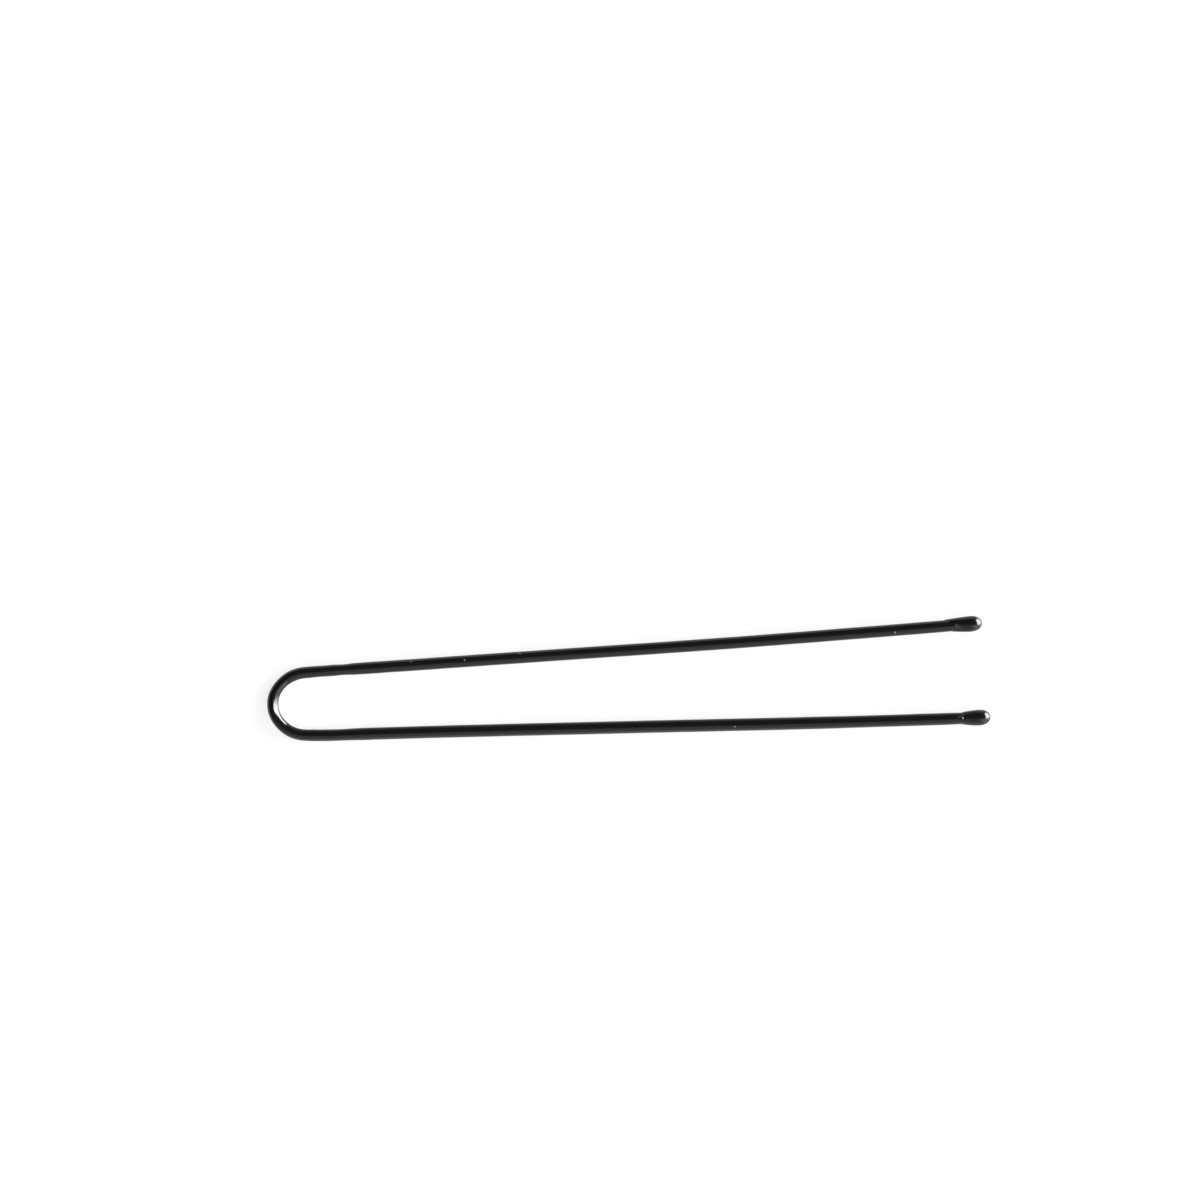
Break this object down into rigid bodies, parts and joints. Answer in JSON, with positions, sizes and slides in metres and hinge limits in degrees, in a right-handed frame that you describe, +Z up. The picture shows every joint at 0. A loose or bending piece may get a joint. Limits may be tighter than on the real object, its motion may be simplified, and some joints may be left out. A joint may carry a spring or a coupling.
{
  "type": "open hairpin",
  "caption": "Straight, open U-shaped hairpin of round enamelled spring wire, whose springy legs end in smooth resin beads.",
  "frame": {"origin": "on the surface that the pin lies on, under the middle of its outline", "axes": "+X from the bend to the tips, +Y towards the left leg, +Z up from the surface that the pin lies flat on"},
  "size_m": [0.065, 0.01, 0.0015],
  "materials": {
    "steel_wire": "drawn spring wire, sealed under the enamel",
    "black_enamel": "smooth, glossy black enamel",
    "bead_resin": "glossy black cured resin"
  },
  "bodies": {
    "bend": {"bend_wire": "steel_wire", "bend_enamel": "black_enamel"},
    "left_leg": {"left_leg_wire": "steel_wire", "left_leg_enamel": "black_enamel", "left_tip_bead": "bead_resin"},
    "right_leg": {"right_leg_wire": "steel_wire", "right_leg_enamel": "black_enamel", "right_tip_bead": "bead_resin"}
  },
  "joints": [
    {"name": "left_leg_flex", "type": "hinge", "parent": "bend", "child": "left_leg", "pos_m": [-0.01994, 0.00307, 0.00056], "axis": [-0.0032, 0, 1], "range_deg": [-3.8, 12], "stiffness_Nm_per_rad": 0.29},
    {"name": "right_leg_flex", "type": "hinge", "parent": "bend", "child": "right_leg", "pos_m": [-0.01994, -0.00307, 0.00056], "axis": [0.0032, 0, -1], "range_deg": [-3.8, 12], "stiffness_Nm_per_rad": 0.29}
  ]
}
